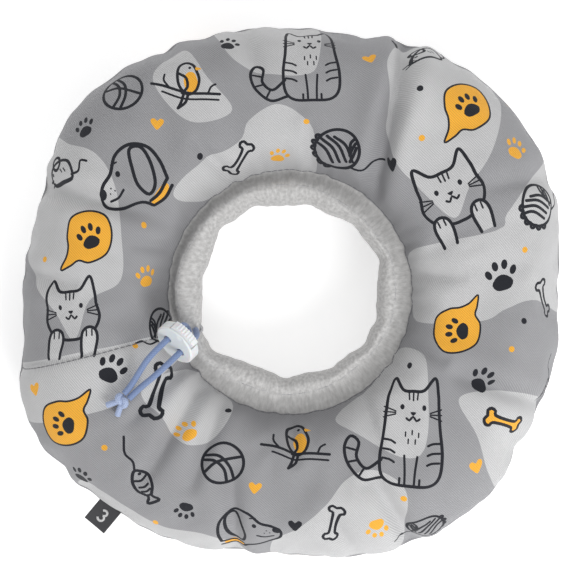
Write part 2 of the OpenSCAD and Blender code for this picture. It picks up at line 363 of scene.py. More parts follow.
def path_frames(path, closed=False):
    """Tangents and two steady cross directions along a path."""
    if closed:
        tangent = np.roll(path, -1, 0) - np.roll(path, 1, 0)
    else:
        tangent = np.gradient(path, axis=0)
    tangent /= np.linalg.norm(tangent, axis=1)[:, None]
    side = np.cross(tangent[0], (0.3, 0.2, 1.0))
    sides = []
    for t in tangent:
        side = side - t * np.dot(side, t)
        side /= np.linalg.norm(side)
        sides.append(side)
    sides = np.array(sides)
    if closed:
        ahead = sides[-1] - tangent[0] * np.dot(sides[-1], tangent[0])
        ahead /= np.linalg.norm(ahead)
        turn = math.atan2(np.dot(np.cross(ahead, sides[0]), tangent[0]), np.dot(ahead, sides[0]))
        spread = np.linspace(0, turn, len(path))[:, None]
        sides = sides * np.cos(spread) + np.cross(tangent, sides) * np.sin(spread)
    return tangent, sides, np.cross(tangent, sides)


def unit(v):
    return v / np.maximum(np.linalg.norm(v, axis=-1, keepdims=True), 1e-9)


def along_path(path):
    """Distances along a path, from 0."""
    return np.concatenate([[0], np.cumsum(np.linalg.norm(np.diff(path, axis=0), axis=1))])


def read_path(at, along, points):
    """Points read off a path at these distances along it."""
    return np.stack([np.interp(at, along, points[:, k]) for k in range(3)], 1)


def resample(path, step):
    path = np.asarray(path, float)
    along = along_path(path)
    count = max(2, int(round(along[-1] / step)) + 1)
    return read_path(np.linspace(0, along[-1], count), along, path)


def tube(path, radius, sides=12, closed=False, braid=0.0):
    """Points, faces and cloth coordinates of a tube; braid is how deep the gaps in its braid are."""
    path = np.asarray(path, float)
    _, u, v = path_frames(path, closed)
    a, s = np.meshgrid(np.arange(sides) * TAU / sides, along_path(path))
    twist = s * TAU / BRAID_PITCH
    weave = np.maximum(np.sin(4 * a + 4 * twist), np.sin(4 * a - 4 * twist))
    r = radius + braid * (weave - 1)
    pts = path[:, None, :] + r[..., None] * (
        np.cos(a)[..., None] * u[:, None, :] + np.sin(a)[..., None] * v[:, None, :]
    )
    faces = grid_faces(len(path), sides, True, closed)
    pts = pts.reshape(-1, 3)
    flat = np.stack([a.ravel() * CORD_R, s.ravel()], 1)
    if not closed:
        last = (len(path) - 1) * sides
        faces.append(tuple(range(sides))[::-1])
        faces.append(tuple(range(last, last + sides)))
    return pts, faces, flat


def merge(parts):
    """Several (points, faces, flat) as one."""
    verts, faces, flat, base = [], [], [], 0
    for p, f, c in parts:
        verts.append(p)
        flat.append(c)
        faces += [tuple(i + base for i in face) for face in f]
        base += len(p)
    return np.concatenate(verts), faces, np.concatenate(flat)


# ---------------------------------------------------------------- the drawstring

# The loose tail's own frame: x runs along the tail, y across it, z up.
TAIL_AT = np.array([-54.0, -24.0, 0.0])
TAIL_TURN = math.radians(224.5)
TAIL_X = np.array([math.cos(TAIL_TURN), math.sin(TAIL_TURN), 0.0])
TAIL_Y = np.array([-math.sin(TAIL_TURN), math.cos(TAIL_TURN), 0.0])
UP = np.array([0, 0, 1.0])
ROUTE_LEFT = [
    (-9, 1.5, 43.6), (-9, 1.8, 47.5), (-9, 2.4, 52), (-8.8, 3.1, 56.7), (-8.3, 3.8, 61.2),
    (-7.1, 4.25, 65.1), (-5.2, 4.35, 67.4), (-2.6, 4.35, 68.9), (0, 4.35, 70.4),
    (2.6, 4.35, 71.9), (5.2, 4.35, 73.4), (7.8, 4.35, 74.9), (10.4, 4.35, 76.4),
    (13.5, 4.25, 77.1), (17, 4.1, 77), (21, 3.8, 75.8), (25, 3.4, 73.9), (29, 3.1, 72.1),
    (32, 3.05, 71.2), (34.4, 3.05, 71), (36, 3.05, 71),
]
ROUTE_RIGHT = [
    (-5.6, 0.1, 43.6), (-6.2, -0.4, 47.5), (-6.9, -1.3, 52), (-7.4, -2.4, 56.6),
    (-7.5, -3.5, 61.1), (-6.8, -4.2, 65), (-5.2, -4.35, 67.4), (-2.6, -4.35, 68.9),
    (0, -4.35, 70.4), (2.6, -4.35, 71.9), (5.2, -4.35, 73.4), (7.8, -4.35, 74.9),
    (10.4, -4.35, 76.4), (13.5, -4.2, 77.1), (17, -3.8, 77), (21, -3, 75.8), (25, -2.1, 73.9),
    (29, -1.2, 72.1), (32, -0.7, 71.2), (34.4, -0.45, 71), (36, -0.45, 71),
]
KNOT_AT = (39.0, 1.3, 71.0)


def tail_point(p):
    return TAIL_AT + p[0] * TAIL_X + p[1] * TAIL_Y + p[2] * UP


def make_strand(name, route, mat, pieces):
    """One free strand of the drawstring, from the buttonhole to the knot."""
    path = catmull([tail_point(p) for p in route], 0.8)
    shape = tube(resample(path, 0.22), CORD_R + 0.03, 24, braid=BRAID_DEPTH)
    obj = add_piece(name + "_braid", shape, mat, "cord_tail", name)


def make_knot(mat):
    """An overhand knot of both strands, with two short cut tails."""
    t = np.linspace(0, TAU, 220, endpoint=False)
    across, up = np.sin(t) + 1.75 * np.sin(2 * t), np.cos(t) - 1.75 * np.cos(2 * t)
    curl = [k[:, None] * way for k, way in ((1.05 * np.sin(3 * t), TAIL_X), (across, TAIL_Y), (up, UP))]
    parts = [tube(tail_point(KNOT_AT) + sum(curl), 1.62, 20, closed=True, braid=BRAID_DEPTH)]
    for way in (1, -1):
        steps = ((1.5, 1.2, -0.4), (4.0, 2.2, -0.9), (6.8, 3.6, -1.8))
        places = [(KNOT_AT[0] + x, KNOT_AT[1] + y * way, KNOT_AT[2] + z) for x, y, z in steps]
        path = resample(catmull([tail_point(p) for p in places], 0.5), 0.25)
        parts.append(tube(path, CORD_R, 20, braid=BRAID_DEPTH))
    return add_piece("end_knot_tied", merge(parts), mat, "cord_tail", "end_knot")


# ---------------------------------------------------------------- the stuffed ring's surface

# The section: centres of its outer and inner arcs, their radius, the seam's height, the neck's radius.
SIDE_OUT, SIDE_IN, SIDE_R, SIDE_Z, NECK_R = 102.5, 91.5, 35.0, 31.0, 60.0
MIDDLE_R = (SIDE_OUT + SIDE_IN) / 2
NECK_ANGLE = math.acos((NECK_R - SIDE_IN) / SIDE_R)
ARC_OUT = SIDE_R * math.pi / 2
ARC_IN = SIDE_R * (NECK_ANGLE - math.pi / 2)
CROWN = SIDE_OUT - SIDE_IN
RHO_NECK = MIDDLE_R - CROWN / 2 - ARC_IN
RHO_OUT = RHO_NECK + ARC_IN + CROWN + ARC_OUT
BOTTOM_POWER = 0.851
COLS = 384
ROWS = 49

# Outer edge's reach past the nominal radius, by azimuth.
REACH = [
    (0, -4.5), (20, 2.5), (40, 5.5), (60, 1.5), (75, -5.5), (90, -6), (115, -2.5), (140, 3),
    (160, -5.5), (180, -4.5), (192, -2), (199, 5), (210, 7.5), (222, 4), (232, 1.5), (245, -1),
    (265, -7.5), (290, -0.5), (315, 4), (325, -0.5), (350, -2),
]
# Creases: (azimuth and radius where it starts, and where it ends), depth, half width.
CREASES = [
    ((64.6, 136), (50, 62), 9.6, 4.4),
    ((157, 138), (150, 74), 5.4, 4.6),
    ((-24, 138), (-26, 92), 4.8, 4.6),
    ((-64, 138), (-66, 100), 5.4, 4.6),
    ((24, 138), (28, 108), 2.5, 4.5),
    ((100, 136), (98, 104), 2.8, 5.0),
    ((258, 136), (252, 92), 3.8, 4.6),
    ((284, 138), (280, 110), 2.4, 4.5),
    ((176, 136), (178, 108), 3.2, 4.2),
    ((227, 64), (232, 112), 4.2, 3.6),
    ((239, 64), (243, 106), 3.4, 3.4),
    ((215, 66), (219, 100), 2.8, 3.2),
    ((8, 62), (5, 84), 2.2, 3.5),
    ((118, 62), (122, 86), 2.4, 3.5),
    ((305, 62), (300, 86), 2.2, 3.5),
    ((80, 62), (84, 82), 1.8, 3.0),
    ((270, 62), (272, 84), 1.8, 3.0),
    ((338, 62), (336, 82), 1.8, 3.0),
    ((160, 62), (163, 80), 1.8, 3.0),
]
SEAM_AZ = [(195.8, 139.0), (199.0, 66.0)]
CLOTH = {
    "quality": 5, "mass": 0.25, "tension_stiffness": 20, "compression_stiffness": 20,
    "shear_stiffness": 8, "bending_stiffness": 12, "air_damping": 2.0, "use_pressure": True,
    "uniform_pressure_force": 5.0, "shrink_min": -0.018,
}
CLOTH_STEPS = 20
# The side on which the cuff stands steepest out of its valley.
LEAN_AZ = math.radians(130)


def cyclic(table, az):
    """Smooth periodic values from a short table of (degrees, value)."""
    at = np.array([p[0] for p in table], float)
    val = np.array([p[1] for p in table], float)
    at = np.concatenate([at[-2:] - 360, at, at[:3] + 360])
    val = np.concatenate([val[-2:], val, val[:3]])
    deg = np.asarray(az, float) % 360
    k = np.clip(np.searchsorted(at, deg, side="right") - 1, 1, len(at) - 3)
    t = (deg - at[k]) / (at[k + 1] - at[k])
    m0 = (val[k + 1] - val[k - 1]) / (at[k + 1] - at[k - 1]) * (at[k + 1] - at[k])
    m1 = (val[k + 2] - val[k]) / (at[k + 2] - at[k]) * (at[k + 1] - at[k])
    t2, t3 = t * t, t * t * t
    return ((2 * t3 - 3 * t2 + 1) * val[k] + (t3 - 2 * t2 + t) * m0
            + (3 * t2 - 2 * t3) * val[k + 1] + (t3 - t2) * m1)


def section(rho, side):
    """Radius and height of the plain section at flat radius rho; side +1 top, -1 bottom."""
    s = RHO_OUT - np.asarray(rho, float)
    theta_out = np.clip(s, 0, ARC_OUT) / SIDE_R
    straight = np.clip(s - ARC_OUT, 0, CROWN)
    theta_in = np.clip(s - ARC_OUT - CROWN, 0, ARC_IN) / SIDE_R
    theta = theta_out + theta_in
    r = SIDE_OUT + SIDE_R * np.cos(theta_out) - straight
    r = np.where(theta_in > 0, SIDE_IN + SIDE_R * np.cos(theta), r)
    lift = np.sin(np.clip(theta, 0, math.pi))
    if side > 0:
        z = SIDE_Z + SIDE_R * lift
    else:
        z = SIDE_Z - SIDE_Z * np.abs(lift) ** BOTTOM_POWER
    return r, z


def polar(az, radius):
    return radius * math.cos(math.radians(az)), radius * math.sin(math.radians(az))


def outward(radius):
    """How much of the ring's uneven reach a point at this radius takes, from 0 at the neck."""
    return np.clip((radius - 62.0) / 75.0, 0, 1) ** 1.5


def near_line(x, y, a, b):
    """Distance from points to a segment between two polar places, and the share along it."""
    (ax, ay), (bx, by) = polar(*a), polar(*b)
    dx, dy = bx - ax, by - ay
    t = ((x - ax) * dx + (y - ay) * dy) / (dx * dx + dy * dy)
    c = np.clip(t, 0, 1)
    return np.hypot(x - ax - c * dx, y - ay - c * dy), t


def plain_surface(az, rho, side):
    """Points of the ring before simulation: the section, its reach and its creases."""
    r, z = section(rho, side)
    rad = np.radians(az)
    x0, y0 = r * np.cos(rad), r * np.sin(rad)
    reach = cyclic(REACH, az)
    r = r + reach * outward(r)
    if side < 0:
        swell = np.exp(-(((az - 168) / 16.0) ** 2)) + 0.4 * np.exp(-(((az - 132) / 10.0) ** 2))
        r = r + 3.4 * swell * np.sin(np.clip((RHO_OUT - rho) / 40.0, 0, 1) * math.pi)
    z = SIDE_Z + (z - SIDE_Z) * (1 + 0.004 * reach)
    if side > 0:
        z = z - (2.6 + 1.6 * np.cos(rad - LEAN_AZ)) * np.exp(-(rho - RHO_NECK) / 7.0)
    sink = np.zeros_like(r)
    for a, b, depth, half in CREASES:
        d, t = near_line(x0, y0, a, b)
        fade = np.clip(1 - np.abs(t - 0.45) / 0.75, 0, 1) ** 0.6
        pit = np.exp(-((d / half) ** 2)) - 0.28 * np.exp(-(((d - 2.3 * half) / (1.3 * half)) ** 2))
        sink += depth * fade * pit
    d, t = near_line(x0, y0, *SEAM_AZ)
    sink += 2.0 * np.exp(-d / 2.2) * np.clip(1.2 - np.abs(t - 0.5) * 0.6, 0, 1)
    theta = np.arctan2(z - SIDE_Z, r - MIDDLE_R - 0.5 * reach)
    share = 0.35 if side < 0 else 1.0
    edge = np.clip((rho - RHO_NECK) / 10, 0, 1) * np.clip((RHO_OUT - rho) / 6 + 0.35, 0, 1)
    sink = sink * share * edge
    lift = pucker_wave(az, rho, side) - sink
    r = r + lift * np.cos(theta)
    z = z + lift * np.sin(theta)
    return np.stack([r * np.cos(rad), r * np.sin(rad), z], -1)


def pucker_wave(az, rho, side):
    """Small gathers beside the outer seam and the neck seam."""
    rad = np.radians(az)
    phase = 0.6 * side
    wave = 0.0
    for count, size, turn in ((23, 0.6, 0.3), (37, 0.6, 1.9), (53, 0.45, 4.1), (71, 0.25, 2.2)):
        drift = 1.3 * np.sin(3 * rad + turn)
        wave = wave + size * np.sin(count * rad + turn + phase + drift)
    strength = 0.6 + 0.4 * np.sin(5 * rad + 1.0) * np.sin(2 * rad + 0.4)
    outer = np.exp(-((RHO_OUT - rho) / 11.0))
    inner = 0.55 * np.exp(-((rho - RHO_NECK) / 9.0))
    return wave * strength * (outer + inner)


def ring_grid():
    """The two covers' grids of points, top and bottom, rows from the neck to the outer seam."""
    rho = np.linspace(RHO_NECK, RHO_OUT, ROWS)
    az = np.arange(COLS) * 360.0 / COLS
    top, low = (plain_surface(*np.meshgrid(az, rho), side) for side in (1, -1))
    top[-1] = low[-1] = (top[-1] + low[-1]) / 2
    return top, low


def smooth_rows(field, passes):
    """Blurs a grid of vectors, around the ring and across it."""
    for _ in range(passes):
        field = 0.5 * field + 0.25 * (np.roll(field, 1, 1) + np.roll(field, -1, 1))
        inner = field.copy()
        inner[1:-1] = 0.5 * field[1:-1] + 0.25 * (field[:-2] + field[2:])
        field = inner
    return field


def simulate_ring(top, low):
    """Inflates the sewn ring as cloth a little too large for its seams; gives moved grids."""
    count = ROWS * COLS
    ring = np.concatenate([top.reshape(-1, 3), low[:-1].reshape(-1, 3)])
    low_index = list(range(count, count + (ROWS - 1) * COLS)) + list(range(count - COLS, count))
    faces = grid_faces(ROWS, COLS)
    lower = [tuple(low_index[i] for i in reversed(f)) for f in grid_faces(ROWS, COLS)]
    wall = [(low_index[i], low_index[(i + 1) % COLS], (i + 1) % COLS, i) for i in range(COLS)]
    obj = add_mesh("ring_cloth", ring, faces + lower + wall, [])
    group = obj.vertex_groups.new(name="held")
    held = list(range(COLS)) + low_index[:COLS] + list(range(count - COLS, count))
    group.add(held, 1.0, "REPLACE")
    creased = []
    for first, last, *_ in CREASES + [SEAM_AZ]:
        d, t = near_line(ring[:count, 0], ring[:count, 1], first, last)
        creased += [int(i) for i in np.nonzero((d < 1.4) & (t > 0.0) & (t < 0.9))[0]]
    group.add(creased, 0.75, "REPLACE")
    cloth = obj.modifiers.new("cloth", "CLOTH")
    for key, value in CLOTH.items():
        setattr(cloth.settings, key, value)
    cloth.settings.vertex_group_mass = group.name
    cloth.settings.effector_weights.gravity = 0
    cloth.collision_settings.use_collision = False
    cloth.point_cache.frame_start = 1
    cloth.point_cache.frame_end = CLOTH_STEPS
    scene = bpy.context.scene
    for step in range(1, CLOTH_STEPS + 1):
        scene.frame_set(step)
    view = obj.evaluated_get(bpy.context.evaluated_depsgraph_get())
    moved = np.zeros(len(ring) * 3)
    view.data.vertices.foreach_get("co", moved)
    moved = moved.reshape(-1, 3) / MM
    scene.frame_set(1)
    bpy.data.objects.remove(obj)
    new_top = moved[:count].reshape(ROWS, COLS, 3)
    new_low = np.concatenate([moved[count:], moved[count - COLS : count]]).reshape(ROWS, COLS, 3)
    return new_top, new_low


def settled_ring():
    """The covers' grids, top and bottom: the plain shape plus what the simulation wrinkled."""
    plain = ring_grid()
    wrinkled = []
    for base, sim in zip(plain, simulate_ring(*plain)):
        move = sim - base
        wrinkle = smooth_rows(move - smooth_rows(move, 120) * 0.9, 2)
        size = np.linalg.norm(wrinkle, axis=2, keepdims=True)
        wrinkled.append(base + wrinkle * np.minimum(1, 5.0 / np.maximum(size, 1e-6)) * 0.8)
    top, low = wrinkled
    low[..., 2] = np.maximum(low[..., 2], 0.4)
    return top, low


def cubic_weights(t):
    t2, t3 = t * t, t * t * t
    return (0.5 * (-t3 + 2 * t2 - t), 0.5 * (3 * t3 - 5 * t2 + 2),
            0.5 * (-3 * t3 + 4 * t2 + t), 0.5 * (t3 - t2))


def sample_grid(grid, az, rho):
    """Smooth values of a grid at azimuths in degrees and flat radii."""
    u = (np.asarray(az, float) % 360) / 360 * COLS
    v = np.clip((np.asarray(rho, float) - RHO_NECK) / (RHO_OUT - RHO_NECK), 0, 1) * (ROWS - 1)
    i, j = np.floor(u).astype(int), np.minimum(np.floor(v).astype(int), ROWS - 2)
    wu, wv = cubic_weights(u - i), cubic_weights(v - j)
    # One row more at each side, straight on from the last two.
    grid = np.concatenate([[2 * grid[0] - grid[1]], grid, [2 * grid[-1] - grid[-2]]])
    total = 0.0
    for n in range(4):
        for m in range(4):
            total = total + (wv[n] * wu[m])[:, None] * grid[j + n, (i + m - 1) % COLS]
    return total


def grid_normals(grid, az, rho, side):
    """Outward unit normals of a grid's surface."""
    d_az, d_rho = 0.35, 0.6
    across = sample_grid(grid, az + d_az, rho) - sample_grid(grid, az - d_az, rho)
    inner = np.clip(rho - d_rho, RHO_NECK, RHO_OUT)
    outer = np.clip(rho + d_rho, RHO_NECK, RHO_OUT)
    up = sample_grid(grid, az, outer) - sample_grid(grid, az, inner)
    n = unit(np.cross(up, across))
    return n if np.median(n[:, 2]) * side > 0 else -n


# ---------------------------------------------------------------- the print

LIGHT, MID, ORANGE, INK = 0, 1, 2, 3
LINE = 1.5
THIN = 1.1


def ellipse(cx, cy, rx, ry, turn=0.0, start=0.0, end=360.0, step=1.2):
    """Points of an ellipse or a part of one, counter-clockwise."""
    count = max(8, int(math.radians(abs(end - start)) * max(rx, ry) / step))
    full = abs(end - start) >= 360
    a = np.radians(np.linspace(start, end, count, endpoint=not full))
    x, y = rx * np.cos(a), ry * np.sin(a)
    c, s = math.cos(math.radians(turn)), math.sin(math.radians(turn))
    return np.stack([cx + c * x - s * y, cy + s * x + c * y], 1)


def closed(*points):
    return catmull(points, 1.1, True)


def curve(*points):
    return catmull(points, 1.1)


class Print:
    """Flat shapes in order, later ones on top."""

    def __init__(self):
        self.shapes = []

    def fill(self, points, colour):
        self.shapes.append((np.asarray(points, float), colour))

    def line(self, points, width=LINE, loop=False):
        """A stroke: one quad for each step, with mitred joins and rounded ends."""
        p = np.asarray(points, float)
        if len(p) < 2:
            return
        ahead = np.roll(p, -1, 0) - p if loop else np.diff(p, axis=0)
        size = np.hypot(ahead[:, 0], ahead[:, 1])
        ahead = ahead / np.maximum(size, 1e-9)[:, None]
        if loop:
            tangent = ahead + np.roll(ahead, 1, 0)
        else:
            tangent = np.concatenate([ahead[:1], ahead[1:] + ahead[:-1], ahead[-1:]])
        tangent /= np.maximum(np.hypot(tangent[:, 0], tangent[:, 1]), 1e-9)[:, None]
        side = np.stack([-tangent[:, 1], tangent[:, 0]], 1) * width / 2
        left, right = p + side, p - side
        for i in range(len(p) if loop else len(p) - 1):
            k = (i + 1) % len(p)
            self.fill([right[i], right[k], left[k], left[i]], INK)
        if not loop:
            for at in (p[0], p[-1]):
                self.fill(ellipse(at[0], at[1], width / 2, width / 2), INK)

    def stroke(self, *points):
        self.line(curve(*points))

    def thin(self, *points):
        self.line(curve(*points), THIN)

    def outline(self, points, width=LINE):
        self.line(points, width, True)

    def placed(self, other, x, y, turn=0.0, size=1.0, flip=False):
        """Adds another print at a place."""
        c, s = math.cos(math.radians(turn)), math.sin(math.radians(turn))
        for points, colour in other.shapes:
            q = points * size * ((-1, 1) if flip else (1, 1))
            q = np.stack([x + c * q[:, 0] - s * q[:, 1], y + s * q[:, 0] + c * q[:, 1]], 1)
            self.shapes.append((q[::-1] if flip else q, colour))


def paw(colour):
    """A pad and four toes, 10 mm high."""
    p = Print()
    p.fill(closed((0, -5), (2.6, -4.6), (3.9, -2.4), (2.3, -0.3), (0, 0.6), (-2.3, -0.3),
                  (-3.9, -2.4), (-2.6, -4.6)), colour)
    for x, y, lean in ((-4.5, 1.4, 25), (-1.7, 3.9, 8), (1.7, 3.9, -8), (4.5, 1.4, -25)):
        p.fill(ellipse(x, y, 1.15, 1.75, lean, step=0.8), colour)
    return p


def heart(colour):
    """A heart, 7 mm wide."""
    p = Print()
    p.fill(closed((0, 1.9), (1.6, 3.3), (3.4, 2.7), (3.5, 0.8), (1.9, -1.5), (0, -3.4),
                  (-1.9, -1.5), (-3.5, 0.8), (-3.4, 2.7), (-1.6, 3.3)), colour)
    return p


def dot(colour):
    p = Print()
    p.fill(ellipse(0, 0, 1.5, 1.5, step=0.7), colour)
    return p


def ball():
    """A toy ball, 20 mm across."""
    p = Print()
    p.outline(ellipse(0, 0, 10, 10))
    p.stroke((-7, 7), (-2.5, 3), (-1, -3), (-3.4, -9.2))
    p.stroke((-5, 8.6), (0.4, 4), (2, -3), (0.2, -9.8))
    p.stroke((-9.6, 1), (-3, 2.2), (3, 0.6), (9.6, -2))
    return p


def bone(colour):
    """A bone 20 mm long, lying along x."""
    p = Print()
    edge = closed((-6, 1.7), (-6.6, 3.4), (-8.6, 4.1), (-10.1, 2.7), (-9.4, 0.6), (-10.3, -1.4),
                  (-9, -3.4), (-7, -3.3), (-6, -1.7), (0, -1.3), (6, -1.7), (7, -3.3),
                  (9, -3.4), (10.3, -1.4), (9.4, 0.6), (10.1, 2.7), (8.6, 4.1), (6.6, 3.4),
                  (6, 1.7), (0, 1.3))
    if colour == ORANGE:
        p.fill(edge, ORANGE)
    p.outline(edge)
    return p


def bubble():
    """A round thought shape with a pointed corner at the lower left, and a paw in it."""
    p = Print()
    edge = closed((-11.5, 2), (-9, 10), (0, 13.3), (9, 10.6), (12, 2), (9.5, -7.5), (1, -12),
                  (-5, -11), (-9, -13.5), (-14.6, -15.6), (-11.6, -9.5), (-10.8, -4))
    p.fill(edge, ORANGE)
    p.outline(edge, 1.0)
    p.placed(paw(INK), 0.6, 0.6, 18, 1.15)
    return p


def yarn():
    """A ball of yarn with a loose end."""
    p = Print()
    p.outline(ellipse(0, 0, 10.5, 10))
    for off in (-5.4, -2.2, 1.0, 4.2):
        p.stroke((off - 4.2, 8.0 - abs(off) * 0.35), (off + 0.2, 1.4), (off + 1.8, -6.5))
    for off in (0.4, 3.4, 6.4):
        p.stroke((4.6 + off * 0.2, -7 + off), (7, -4 + off), (9.2, -0.5 + off * 0.7))
    for lean in (132, 152, 172, 192, 212, 232):
        x, y = 10.2 * math.cos(math.radians(lean)), 9.7 * math.sin(math.radians(lean))
        p.line(ellipse(x, y, 1.9, 1.4, lean, -90, 90, step=0.6))
    p.thin((4, -9.3), (9.5, -11.6), (14, -9.5), (18, -11))
    return p


def fish():
    """A toy fish on a string; it swims along x."""
    p = Print()
    edge = closed((-8.5, 0), (-4, 3.6), (1.5, 3.9), (6, 1), (9, 3.4), (9.6, 0), (9, -3.4),
                  (6, -1), (1.5, -3.9), (-4, -3.6))
    p.outline(edge)
    p.thin((-4, 3), (-2.6, 0), (-4, -3))
    for x in (0, 2.4, 4.6):
        p.thin((x, 2.2), (x + 0.7, 0), (x, -2.2))
    p.fill(ellipse(-5.9, 0.8, 0.8, 0.8, step=0.5), INK)
    p.thin((-8.5, 0), (-13, 1.5), (-18, 0), (-25, 3))
    return p


def mouse():
    """A toy mouse facing left."""
    p = Print()
    p.outline(closed((-9.6, -2), (-5.6, 3), (0, 5.6), (6, 4.6), (9, 0), (8.4, -3.6), (0, -4),
                     (-7, -3.6)))
    p.outline(ellipse(-2.2, 4.8, 2.8, 3.2, 12))
    p.fill(ellipse(-6, 0.4, 0.8, 0.8, step=0.5), INK)
    p.fill(ellipse(-9.8, -1.8, 1.0, 0.9, step=0.5), INK)
    p.thin((8.6, -2), (13, -1), (14, 3.5), (17.4, 3))
    for y in (-1.2, -2.4):
        p.line([(-8, y), (-12.5, y * 1.7 + 1)], 0.7)
    for x in (1, 3.4):
        p.line([(x, 1.6), (x + 1.2, 0)], 0.7)
    return p


def bird():
    """A small bird on a branch."""
    p = Print()
    body = closed((-3, 9), (0.4, 11), (4, 9.6), (5.4, 5), (5, -2), (1.5, -7), (-3, -5.5),
                  (-5.4, 0), (-4.6, 5))
    p.fill(closed((-3.4, 4), (0, 5), (2.5, 1), (1.6, -5), (-1.6, -6), (-4.4, -2)), ORANGE)
    p.outline(body)
    p.stroke((4.6, 5), (1.2, 2), (1, -3), (4, -6))
    p.stroke((3, -6), (5, -11), (7, -14))
    p.stroke((1, -7), (3, -11.5), (7, -14))
    p.fill(ellipse(-1.2, 7.6, 0.8, 0.8, step=0.5), INK)
    p.fill(closed((-4.2, 7.6), (-7.2, 6.2), (-4.4, 5.6)), ORANGE)
    p.stroke((-15, -9), (-7, -7.6), (2, -6), (13, -1), (19, 1))
    p.thin((-14, -12), (-6, -10.6), (4, -9), (14, -4))
    p.thin((10, -2.6), (12.5, 2), (12, 5.5))
    p.thin((-9, -8), (-11, -4.5), (-13.5, -3.4))
    return p


def whiskers(p, x, y, side):
    for dy in (1.4, 0, -1.4):
        p.line([(x * side, y + dy * 0.5), ((x + 5.5) * side, y + dy * 1.8)], 0.7)


def cat_head(p, y=0.0, wide=13.0):
    """Adds a plain cat's head, with ears, stripes and whiskers."""
    w = wide
    p.stroke((-w * 0.95, y + 2), (-w * 0.92, y + 8), (-w * 0.78, y + 15.5), (-w * 0.4, y + 9.6),
             (0, y + 9), (w * 0.4, y + 9.6), (w * 0.78, y + 15.5), (w * 0.92, y + 8),
             (w * 0.95, y + 2))
    for side in (-1, 1):
        p.fill(ellipse(side * w * 0.4, y + 1.6, 1.0, 1.3, step=0.5), INK)
        whiskers(p, w * 0.62, y - 1.4, side)
        p.line([(side * 2.2, y + 8.4), (side * 1.9, y + 5.2)], 0.8)
    p.line([(0, y + 8.6), (0, y + 4.8)], 0.8)
    p.fill(closed((-1.4, y - 0.6), (1.4, y - 0.6), (0, y - 2.2)), INK)
    p.thin((-3, y - 3.6), (-1.6, y - 4.5), (0, y - 2.6), (1.6, y - 4.5), (3, y - 3.6))


def cat_face():
    """A cat looking over its two front paws."""
    p = Print()
    cat_head(p, 3.0, 14.0)
    p.stroke((-13.3, 5), (-14.6, -2), (-11, -8.4), (-4.5, -11.2), (0, -11.6), (4.5, -11.2),
             (11, -8.4), (14.6, -2), (13.3, 5))
    for side in (-1, 1):
        arm = curve((side * 12.4, -20), (side * 13.2, -12), (side * 12, -7.6), (side * 9, -6.2),
                    (side * 6, -7.8), (side * 5, -12), (side * 6, -20))
        p.fill(arm, LIGHT)
        p.line(arm)
        p.line([(side * 7.6, -7.6), (side * 7.6, -10.4)], 0.8)
        p.line([(side * 10.4, -7.6), (side * 10.4, -10.4)], 0.8)
    return p


def sitting_cat():
    """A round sitting cat with a striped tail."""
    p = Print()
    cat_head(p, 12.0, 13.0)
    p.stroke((-12.3, 14), (-12.8, 4), (-14.2, -8), (-13.4, -18), (-9, -22.4), (0, -22.8),
             (9, -22.4), (13.4, -18), (14.2, -8), (12.8, 4), (12.3, 14))
    for side in (-1, 1):
        p.thin((side * 2.2, -22), (side * 2.4, -16), (side * 3, -9))
        p.line([(side * 4.6, -19.6), (side * 4.6, -22.4)], THIN)
        for y in (-2, -6.5, -11):
            p.thin((side * 13, y), (side * 9.6, y - 0.5), (side * 7.6, y - 1.6))
    for x, y in ((-3, 2), (0, 3), (3, 2), (-1.6, -1.2), (1.6, -1.2)):
        p.line([(x, y), (x, y - 2)], 0.7)
    p.stroke((-13.5, -12), (-20, -17), (-25, -12), (-24.4, -5), (-28.6, -2.4), (-31, -8),
             (-28.5, -16), (-21, -22.6), (-12.5, -20.6))
    for a, b in (((-24.6, -9), (-29.8, -8)), ((-24.4, -13.5), (-29, -14.8)),
                 ((-20.8, -16.6), (-23, -21))):
        p.line([a, b], THIN)
    return p


def dog_head():
    """A dog's head with a hanging ear and a collar, facing left."""
    p = Print()
    p.fill(closed((7, -13), (13.5, -7), (15.4, -9.2), (9, -15.6)), ORANGE)
    p.stroke((8, -16), (3, -13.6), (-6, -14.6), (-14, -12.6), (-16.6, -7.6), (-13.5, -3.4),
             (-8.8, 0.6), (-5, 8), (2, 11.6), (9.4, 9.6), (13.6, 3), (15.6, -5))
    p.outline(closed((1.6, 9.4), (6.6, 9.8), (9.6, 3), (10, -6), (6.4, -10.4), (2.4, -6), (1.4, 1)))
    p.stroke((6.6, -13.4), (11, -10.4), (15.6, -5))
    p.stroke((8, -16), (13, -13), (17, -8.4))
    p.fill(ellipse(-15, -6.4, 2.4, 1.9, 40, step=0.7), INK)
    p.fill(ellipse(-5.4, 0.2, 1.1, 1.3, step=0.5), INK)
    p.thin((-12, -10), (-7.6, -9.4), (-4.4, -6.6))
    p.line([(-7.6, 4.4), (-5, 5.2)], 0.8)
    for x, y in ((-10, -5), (-8.4, -6.2), (-11, -7)):
        p.fill(ellipse(x, y, 0.4, 0.4, step=0.3), INK)
    return p


